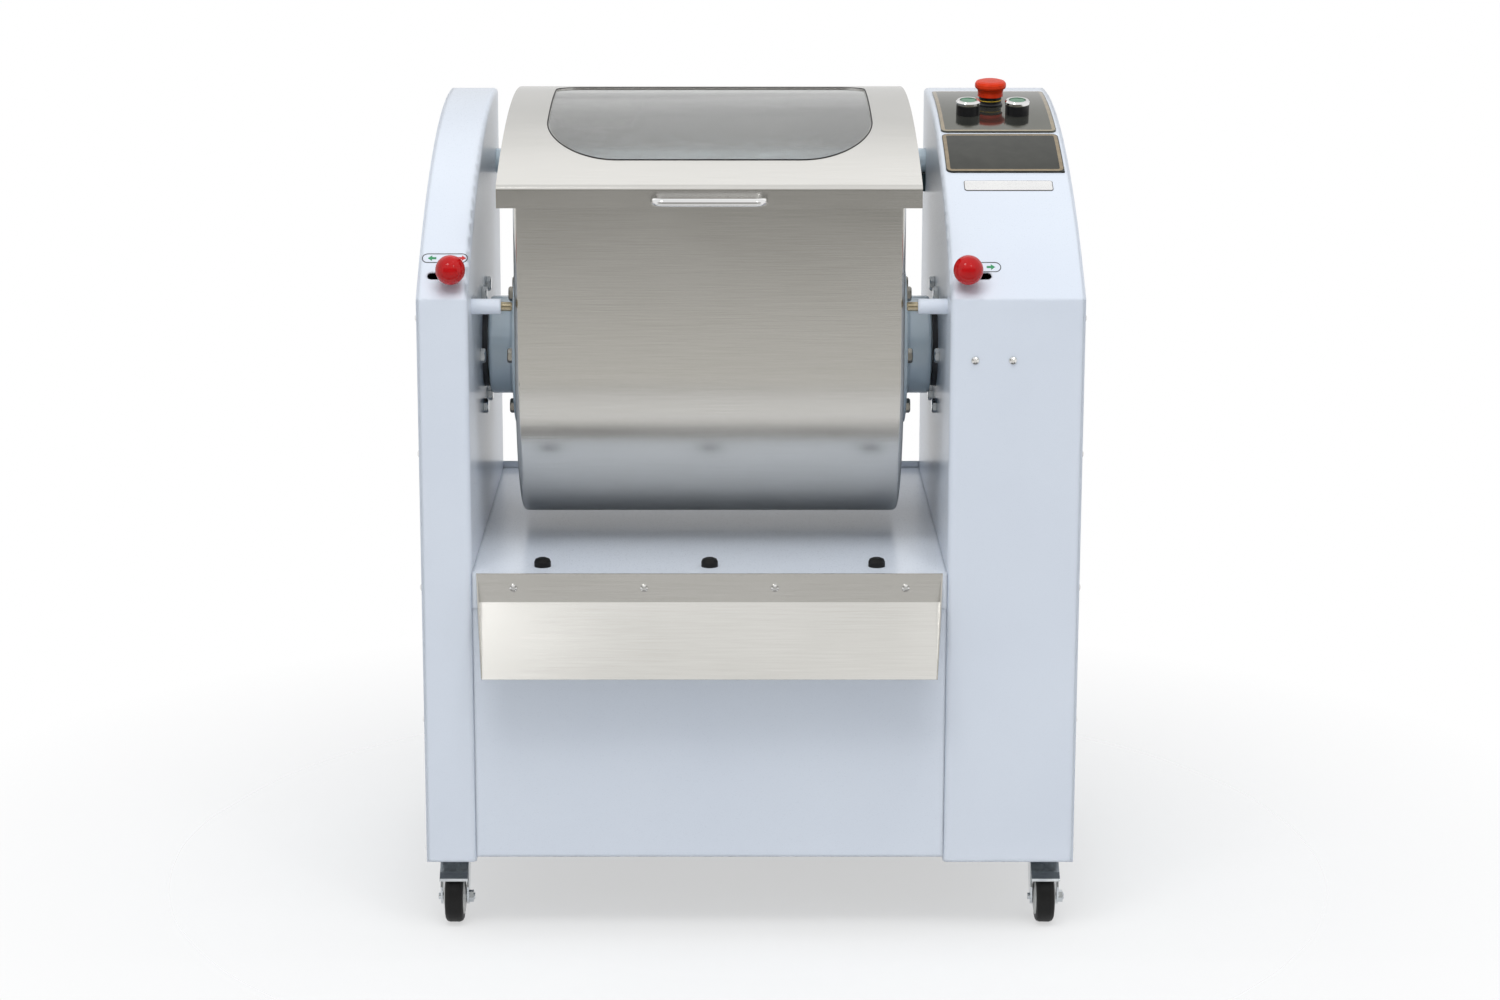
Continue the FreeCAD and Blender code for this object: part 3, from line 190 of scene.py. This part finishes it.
def fascia(name, node, gloss):
    """Glossy dark sheet with a tan band just inside its rounded edge."""
    corner = 0.008
    band_start = 0.0010
    band_end = 0.0052
    look = Look(name)
    low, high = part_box(node)
    place = look.axes()
    # Distance inwards from the outline, which is a rectangle with rounded corners
    over = []
    for axis in (0, 1):
        middle = (low[axis] + high[axis]) / 2
        half = (high[axis] - low[axis]) / 2 - corner
        away = look.calc("ABSOLUTE", look.calc("SUBTRACT", place[axis], middle))
        over.append(look.calc("SUBTRACT", away, half))
    outside = [look.calc("MAXIMUM", value, 0.0) for value in over]
    squares = [look.calc("MULTIPLY", value, value) for value in outside]
    length = look.calc("SQRT", look.calc("ADD", *squares))
    inside = look.calc("MINIMUM", look.calc("MAXIMUM", *over), 0.0)
    edge = look.calc("SUBTRACT", corner, look.calc("ADD", length, inside))
    after_start = look.calc("GREATER_THAN", edge, band_start)
    before_end = look.calc("LESS_THAN", edge, band_end)
    band = look.calc("MULTIPLY", after_start, before_end)
    dark = look.ramp(look.noise(40.0), (0.026, 0.027, 0.024), (0.038, 0.039, 0.034))
    tan = look.ramp(look.noise(120.0), (0.25, 0.19, 0.12), (0.32, 0.25, 0.16))
    fine = look.noise(500.0)
    look.bump(fine, depth=0.00001)
    return look.set(Base_Color=look.mix(band, dark, tan), Roughness=look.spread(fine, 0.05, 0.12),
                    Specular_IOR_Level=gloss, Specular_Tint=(1.0, 1.0, 0.76, 1.0))


def clear_sheet():
    """Slightly grey clear plastic with long soft waves."""
    look = Look("clear_sheet")
    wave = look.noise(2.2, detail=0.5, stretch=(0.8, 5.0, 1.0))
    look.bump(wave, depth=0.004, strength=0.4)
    tint = look.ramp(look.noise(5.0), (0.66, 0.67, 0.66), (0.73, 0.74, 0.73))
    haze = look.spread(look.noise(60.0), 0.03, 0.10)
    return look.set(Base_Color=tint, Roughness=haze, Transmission_Weight=0.92, IOR=1.35)


# Finishes: two colours, the range of roughness, and the grain's scale and depth
paint = finish_of("white_enamel", (0.72, 0.77, 0.85), (0.745, 0.795, 0.87), (0.26, 0.36),
                  grain=700.0, depth=0.00005, patch=5.0, edge=0.006,
                  Coat_Weight=0.14, Coat_Roughness=0.12, Specular_IOR_Level=0.38)
steel = brushed("rolled_stainless", (0.58, 0.57, 0.54), (0.665, 0.655, 0.63), (0.21, 0.28))
hub = finish_of("hub_enamel", (0.66, 0.79, 0.88), (0.72, 0.84, 0.92), (0.16, 0.26),
                grain=420.0, depth=0.00008, edge=0.003, Coat_Weight=0.6, Coat_Roughness=0.05)
teal = finish_of("dark_teal_plastic", (0.008, 0.030, 0.042), (0.014, 0.042, 0.056), (0.3, 0.45),
                 grain=900.0, depth=0.00003)
# Bearing housings: near black, partly their own dark seal and steel, partly painted shade of the deep
# gap between hub and column wall
housing_dark_and_shade = finish_of("housing_dark_and_painted_shade", (0.022, 0.025, 0.03), (0.045, 0.048, 0.055), (0.4, 0.6),
                      grain=420.0, depth=0.0002)
grey = finish_of("grey_enamel", (0.20, 0.22, 0.24), (0.27, 0.29, 0.31), (0.35, 0.5),
                 grain=500.0, depth=0.00008)
rubber = finish_of("black_rubber", (0.004, 0.004, 0.004), (0.010, 0.010, 0.010), (0.4, 0.65),
                   grain=900.0, depth=0.00006, Specular_IOR_Level=0.25)
chrome = finish_of("bright_chrome", (0.72, 0.72, 0.72), (0.82, 0.82, 0.81), (0.06, 0.16),
                   grain=300.0, depth=0.00001, Metallic=1.0)
zinc = finish_of("zinc_plate", (0.46, 0.49, 0.52), (0.60, 0.63, 0.65), (0.10, 0.22),
                 grain=260.0, depth=0.00004, patch=60.0, edge=0.0006, Metallic=1.0)
dark_zinc = finish_of("dark_zinc", (0.20, 0.19, 0.17), (0.34, 0.33, 0.30), (0.12, 0.26),
                      grain=260.0, depth=0.00004, patch=60.0, edge=0.0006, Metallic=1.0)
machined = finish_of("machined_steel", (0.26, 0.25, 0.24), (0.40, 0.39, 0.37), (0.28, 0.45),
                     grain=800.0, depth=0.00003, patch=80.0, Metallic=1.0)
# Lock pins: steel, with a brown-yellow tint that is a painted warm reflection
pin_warm_reflection = finish_of("pin_painted_warm_reflection", (0.34, 0.29, 0.19), (0.46, 0.40, 0.28), (0.16, 0.28),
                       grain=700.0, depth=0.00002, patch=70.0, Metallic=1.0)
plastic = finish_of("black_plastic", (0.006, 0.006, 0.007), (0.013, 0.013, 0.015), (0.2, 0.4),
                    grain=1200.0, depth=0.00003, Specular_IOR_Level=0.35)
green = finish_of("green_lens", (0.03, 0.17, 0.08), (0.05, 0.24, 0.12), (0.12, 0.24),
                  grain=400.0, depth=0.00003, patch=90.0, Specular_IOR_Level=0.6)
knob_red = finish_of("red_knob", (0.46, 0.002, 0.004), (0.56, 0.004, 0.006), (0.05, 0.10),
                     grain=500.0, depth=0.000005, patch=50.0, Specular_IOR_Level=0.3)
mushroom = finish_of("orange_red", (0.66, 0.034, 0.006), (0.78, 0.048, 0.010), (0.25, 0.4),
                     grain=900.0, depth=0.00003, patch=60.0, Specular_IOR_Level=0.12)
nylon = finish_of("white_nylon", (0.60, 0.60, 0.57), (0.70, 0.70, 0.67), (0.4, 0.55),
                  grain=600.0, depth=0.00005, patch=50.0)
yellow = finish_of("yellow_plastic", (0.72, 0.46, 0.02), (0.80, 0.54, 0.03), (0.3, 0.42),
                   grain=900.0, depth=0.00002, patch=90.0)
black_ink = finish_of("black_ink", (0.015, 0.015, 0.017), (0.03, 0.03, 0.032), (0.35, 0.5),
                      grain=900.0, depth=0.00001, patch=90.0)
green_ink = finish_of("green_ink", (0.02, 0.22, 0.08), (0.03, 0.28, 0.11), (0.35, 0.5),
                      grain=900.0, depth=0.00001, patch=90.0)
red_ink = finish_of("red_ink", (0.52, 0.02, 0.02), (0.62, 0.03, 0.03), (0.35, 0.5),
                    grain=900.0, depth=0.00001, patch=90.0)

# Each node's finish: its own where it has one, or else its slot's
by_node = {
    "upper_control_panel": fascia("upper_fascia", "upper_control_panel", gloss=1.0),
    "lower_control_panel": fascia("lower_fascia", "lower_control_panel", gloss=0.14),
    "left_bearing_housing": housing_dark_and_shade,
    "right_bearing_housing": housing_dark_and_shade,
    "left_lock_pin": pin_warm_reflection,
    "right_lock_pin": pin_warm_reflection,
    "rear_tie_bar": hub,
    "lid_switch": teal,
    "housing_bolts": zinc,
    "trunnion_bolts": dark_zinc,
}
by_slot = {
    "white_paint": paint,
    "stainless": steel,
    "cast_hub": hub,
    "grey_paint": grey,
    "black_rubber": rubber,
    "bright_chrome": chrome,
    "machined_steel": machined,
    "black_plastic": plastic,
    "green_plastic": green,
    "red_knob": knob_red,
    "orange_red_plastic": mushroom,
    "clear_plastic": clear_sheet(),
    "zinc_plate": zinc,
    "castor_tyre": rubber,
}
for part in frame["record"]["subparts"]:
    slots = nodes[part["node"]].data.materials
    slots.clear()
    slots.append(by_node.get(part["node"]) or by_slot[part["material_slot"]])

# Castor wheels: a black tyre on a white core, which ends at this distance from the axle
CORE_RADIUS = 0.0224
for name, wheel in nodes.items():
    if name.endswith("castor_wheel"):
        low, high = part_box(name)
        axle = (low + high) / 2
        wheel.data.materials.append(nylon)
        for face in wheel.data.polygons:
            reach = math.hypot(face.center.y - axle.y, face.center.z - axle.z)
            face.material_index = 1 if reach < CORE_RADIUS else 0


def new_object(name, mesh, material):
    data = bpy.data.meshes.new(name)
    mesh.to_mesh(data)
    mesh.free()
    data.materials.append(material)
    piece = bpy.data.objects.new(name, data)
    bpy.context.scene.collection.objects.link(piece)
    return piece


def add_piece(name, mesh, body, material, smooth=False):
    for face in mesh.faces:
        face.smooth = smooth
    bmesh.ops.recalc_face_normals(mesh, faces=mesh.faces)
    piece = new_object(name, mesh, material)
    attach(piece, body)


def on_arch(x, y, lift):
    """The point over x and y on the arched top, or on an arc that lies outside it by lift."""
    return Vector((x, y, ARCH_Z + math.sqrt((ARCH_RADIUS + lift) ** 2 - (y - ARCH_Y) ** 2)))


def arch_piece(name, outer, material, lift, inner=None):
    """A thin sheet on the arched top, solid or as a closed band between two outlines."""
    mesh = bmesh.new()
    rings = []
    for outline in [outer, inner] if inner else [outer]:
        bottom = [mesh.verts.new(on_arch(x, y, -SINK)) for x, y in outline]
        top = [mesh.verts.new(on_arch(x, y, lift)) for x, y in outline]
        rings.append((bottom, top))
    count = len(outer)
    for bottom, top in rings:
        for i in range(count):
            j = (i + 1) % count
            mesh.faces.new((bottom[i], bottom[j], top[j], top[i]))
    if inner:
        for around, within in zip(*rings):
            for i in range(count):
                j = (i + 1) % count
                mesh.faces.new((around[i], around[j], within[j], within[i]))
    else:
        for side in rings[0]:
            mesh.faces.new(side)
    add_piece(name, mesh, "frame", material)


def grown(box, by):
    """A box of x0, x1, y0 and y1 with its four sides moved outwards."""
    x0, x1, y0, y1 = box
    return x0 - by, x1 + by, y0 - by, y1 + by


def rounded(box, radius, steps=8):
    """Outline of a rounded rectangle seen from above."""
    x0, x1, y0, y1 = grown(box, -radius)
    points = []
    for quarter, (x, y) in enumerate(((x1, y1), (x0, y1), (x0, y0), (x1, y0))):
        for i in range(steps + 1):
            angle = math.pi / 2 * (quarter + i / steps)
            points.append((x + radius * math.cos(angle), y + radius * math.sin(angle)))
    return points


# Bare plate on the right column
PLATE_BOX = (0.260, 0.366, -0.092, -0.072)
PLATE_CORNER = 0.003
plate = rounded(PLATE_BOX, PLATE_CORNER)
arch_piece("bare_plate", plate, chrome, PLATE_LIFT)


def arrow(x, y, way):
    """Outline of an arrow about x and y that points along X, to the right for a way of 1."""
    reach = 0.005
    head = 0.004
    shaft = 0.0015
    tail = x - way * reach
    return [(x + way * reach, y), (x, y + head), (x, y + shaft), (tail, y + shaft),
            (tail, y - shaft), (x, y - shaft), (x, y - head)]


def slot_sign(side, out, box):
    """Outline beside a lock slot, with an arrow outwards for open and one inwards for shut."""
    line = 0.001
    end_flat = 0.0001
    open_inset = 0.012
    shut_inset = 0.007
    x0, x1, y0, y1 = box
    radius = (y1 - y0) / 2 - end_flat
    inner = rounded(grown(box, -line), radius - line)
    arch_piece(side + "_slot_outline", rounded(box, radius), black_ink, INK_LIFT, inner)
    y = (y0 + y1) / 2
    outer_end, inner_end = (x1, x0) if out > 0 else (x0, x1)
    opening = arrow(outer_end - out * open_inset, y, out)
    shutting = arrow(inner_end + out * shut_inset, y, -out)
    arch_piece(side + "_open_arrow", opening, green_ink, INK_LIFT)
    arch_piece(side + "_shut_arrow", shutting, red_ink, INK_LIFT)


slot_sign("left", -1, (-0.387, -0.333, -0.219, -0.205))
slot_sign("right", 1, (0.239, 0.294, -0.2326, -0.218))

# Dark line round the bare plate
PLATE_LINE = 0.0008
plate_rim = rounded(grown(PLATE_BOX, PLATE_LINE), PLATE_CORNER + PLATE_LINE)
arch_piece("plate_edge", plate_rim, black_ink, PLATE_EDGE_LIFT, plate)


def opening_outline(x0, x1, y0, y1):
    """Points round the window opening, with long front corners and small rear ones."""
    steps = 24
    across = 0.088
    along = 0.140
    rear = 0.036
    # Centre, half axes and first angle of each corner, and where a straight side after it ends
    corners = (
        (x1 - across, y0 + along, across, along, -90, y1 - rear),
        (x1 - rear, y1 - rear, rear, rear, 0, None),
        (x0 + rear, y1 - rear, rear, rear, 90, y0 + along),
        (x0 + across, y0 + along, across, along, 180, None),
    )
    points = []
    for x, y, a, b, start, end in corners:
        for i in range(steps + 1):
            angle = math.radians(start + 90 * i / steps)
            points.append((x + a * math.cos(angle), y + b * math.sin(angle)))
        if end is not None:
            x, y = points[-1]
            points += [(x, y + (end - y) * i / steps) for i in range(1, steps)]
    return points


def window_bead():
    """Dark rubber bead along the edge of the lid's window opening."""
    window_lap = 0.014
    edge_offset = 0.0012
    onto_hood = 0.0015
    above_lid = 1.2
    radius = 0.0009
    sides = 8
    up = Vector((0, 0, 1))
    low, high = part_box("lid_window")
    lap = window_lap - edge_offset
    middle = (low.x + high.x) / 2
    spine = []
    for x, y in opening_outline(low.x + lap, high.x - lap, low.y + lap, high.y - lap):
        start = (x + math.copysign(onto_hood, x - middle), y, above_lid)
        _, place, _, _ = nodes["lid_hood"].ray_cast(start, -up)
        spine.append(Vector((x, y, place.z)))
    mesh = bmesh.new()
    rings = []
    for i, place in enumerate(spine):
        run = (spine[(i + 1) % len(spine)] - spine[i - 1]).normalized()
        side = run.cross(up).normalized()
        ring = []
        for k in range(sides):
            angle = 2 * math.pi * k / sides
            ring.append(mesh.verts.new(place + radius * (side * math.cos(angle) + up * math.sin(angle))))
        rings.append(ring)
    for i, ring in enumerate(rings):
        after = rings[(i + 1) % len(rings)]
        for k in range(sides):
            j = (k + 1) % sides
            mesh.faces.new((ring[k], after[k], after[j], ring[j]))
    add_piece("window_bead", mesh, "lid", rubber)


window_bead()


def stop_ring():
    """Yellow ring in the groove of the emergency stop's collar."""
    groove_radius = 0.0140
    groove_height = 0.0069
    radius = 0.0006
    sides = 12
    segments = 72
    foot = on_arch(x=0.3085, y=0.170, lift=0.002)
    normal = Vector((0, -0.12765, 0.99182))
    turn = normal.to_track_quat("Z", "Y")
    mesh = bmesh.new()
    rings = []
    for i in range(segments):
        angle = 2 * math.pi * i / segments
        ring = []
        for k in range(sides):
            around = 2 * math.pi * k / sides
            reach = groove_radius + radius * math.cos(around)
            height = groove_height + radius * math.sin(around)
            place = Vector((reach * math.cos(angle), reach * math.sin(angle), height))
            ring.append(mesh.verts.new(foot + turn @ place))
        rings.append(ring)
    for i, ring in enumerate(rings):
        after = rings[(i + 1) % segments]
        for k in range(sides):
            j = (k + 1) % sides
            mesh.faces.new((ring[k], after[k], after[j], ring[j]))
    add_piece("stop_ring", mesh, "frame", yellow, smooth=True)


stop_ring()


def pale_floor():
    """Floor that keeps the object's shadow and fades into the white background."""
    fade_start = 0.42
    fade_end = 1.2
    clear_near = 0.56
    clear_far = 1.0
    look = Look("pale_floor")
    tint = look.ramp(look.noise(3.0), (0.93, 0.93, 0.93), (0.96, 0.96, 0.96))
    look.set(Base_Color=tint, Roughness=0.9, Specular_IOR_Level=0.1)
    distance = look.add("ShaderNodeVectorMath")
    distance.operation = "LENGTH"
    look.feed(distance.inputs[0], look.place)
    fade = look.spread(distance.outputs["Value"], clear_near, clear_far, fade_start, fade_end)
    clear = look.add("ShaderNodeBsdfTransparent")
    blend = look.add("ShaderNodeMixShader")
    look.feed(blend.inputs[0], look.calc("MULTIPLY", fade, look.seen()))
    look.feed(blend.inputs[1], look.shader.outputs[0])
    look.feed(blend.inputs[2], clear.outputs[0])
    look.feed(look.surface, blend.outputs[0])
    mesh = bmesh.new()
    bmesh.ops.create_grid(mesh, x_segments=4, y_segments=4, size=3.0)
    floor = new_object("floor", mesh, look.material)


pale_floor()


def reflector(name, corners, axis, stops, tint=(1, 1, 1)):
    """Card, graded along Y or Z by pairs of place and brightness, that only reflections show."""
    look = Look(name)
    first, last = stops[0][0], stops[-1][0]
    span = last - first
    past_first = look.calc("SUBTRACT", look.axes()[axis], first)
    ramp = look.add("ShaderNodeValToRGB")
    look.feed(ramp.inputs[0], look.calc("DIVIDE", past_first, span))
    marks = ramp.color_ramp.elements
    while len(marks) < len(stops):
        marks.new(0.5)
    brightest = max(value for _, value in stops)
    for mark, (place, value) in zip(marks, stops):
        mark.position = (place - first) / span
        mark.color = (*[value / brightest * part for part in tint], 1)
    glow = look.add("ShaderNodeEmission")
    glow.inputs["Strength"].default_value = brightest
    look.feed(glow.inputs["Color"], ramp.outputs[0])
    look.feed(look.surface, glow.outputs[0])
    mesh = bmesh.new()
    mesh.faces.new([mesh.verts.new(corner) for corner in corners])
    card = new_object(name, mesh, look.material)
    card.visible_camera = False
    card.visible_diffuse = False
    card.visible_transmission = False
    card.visible_shadow = False


def upright(half, y, bottom, top):
    return ((-half, y, bottom), (half, y, bottom), (half, y, top), (-half, y, top))


def level(half, z, front, back):
    return ((-half, front, z), (half, front, z), (half, back, z), (-half, back, z))


# Cards for the reflections in steel, each with its brightness by height or depth
reflector("front_card", upright(half=2.5, y=-1.9, bottom=0.002, top=1.75), "Z",
          ((0.002, 0.34), (0.10, 0.54), (0.18, 0.70), (0.27, 0.80), (0.36, 0.86), (0.42, 0.80),
           (0.48, 0.60), (0.56, 0.37), (0.66, 0.28), (1.25, 0.26), (1.75, 0.95)),
          tint=(1.0, 0.985, 0.94))
reflector("floor_card", level(half=1.6, z=0.004, front=-1.85, back=-0.36), "Y",
          ((-1.85, 0.74), (-1.2, 0.84), (-0.79, 0.96), (-0.69, 0.10), (-0.60, 0.10),
           (-0.52, 1.25), (-0.36, 1.50)))
reflector("rear_card", upright(half=3.0, y=2.2, bottom=1.05, top=4.0), "Z",
          ((1.05, 0.80), (1.9, 0.80), (2.2, 0.88), (2.7, 1.15), (3.1, 1.33), (4.0, 1.33)))

# White surroundings to the eye, in metal and in glass, and a soft fill for all other light
FILL = (0.455, 0.475, 0.50, 1)
WHITE = (1, 1, 1, 1)
world = bpy.data.worlds.new("studio")
world.use_nodes = True
bpy.context.scene.world = world
studio = Tree(world.node_tree)
background = world.node_tree.nodes["Background"]
studio.feed(background.inputs["Color"], studio.mix(studio.seen(), FILL, WHITE))

# Soft lights: the point that they face, and the power at one metre that a share of one gives
AIM = Vector((0, 0, 0.55))
FULL_POWER = 3.95


def soft_light(name, place, size, share, mirrored=False):
    lamp = bpy.data.lights.new(name, "AREA")
    lamp.size = size
    ray = AIM - Vector(place)
    lamp.energy = FULL_POWER * ray.length_squared * share
    light = bpy.data.objects.new(name, lamp)
    light.location = place
    light.rotation_euler = ray.to_track_quat("-Z", "Y").to_euler()
    light.visible_glossy = mirrored
    bpy.context.scene.collection.objects.link(light)


soft_light("left_box", (-1.3, -2.2, 3.7), size=0.8, share=0.22, mirrored=True)
soft_light("right_box", (1.3, -2.6, 3.0), size=0.35, share=0.09, mirrored=True)
soft_light("top", (0.05, -1.4, 3.6), size=2.0, share=1.19)

# Camera at the photograph's viewing angle
view = bpy.data.cameras.new("camera")
view.sensor_fit = "HORIZONTAL"
view.sensor_width = 36.0
view.lens = 81.78
view.shift_x = 0.0183
camera = bpy.data.objects.new("camera", view)
camera.location = (-0.03306, -4.18745, 1.423)
camera.rotation_euler = (math.radians(77.27), 0, 0)
bpy.context.scene.collection.objects.link(camera)
bpy.context.scene.camera = camera
bpy.context.scene.view_settings.view_transform = "Standard"
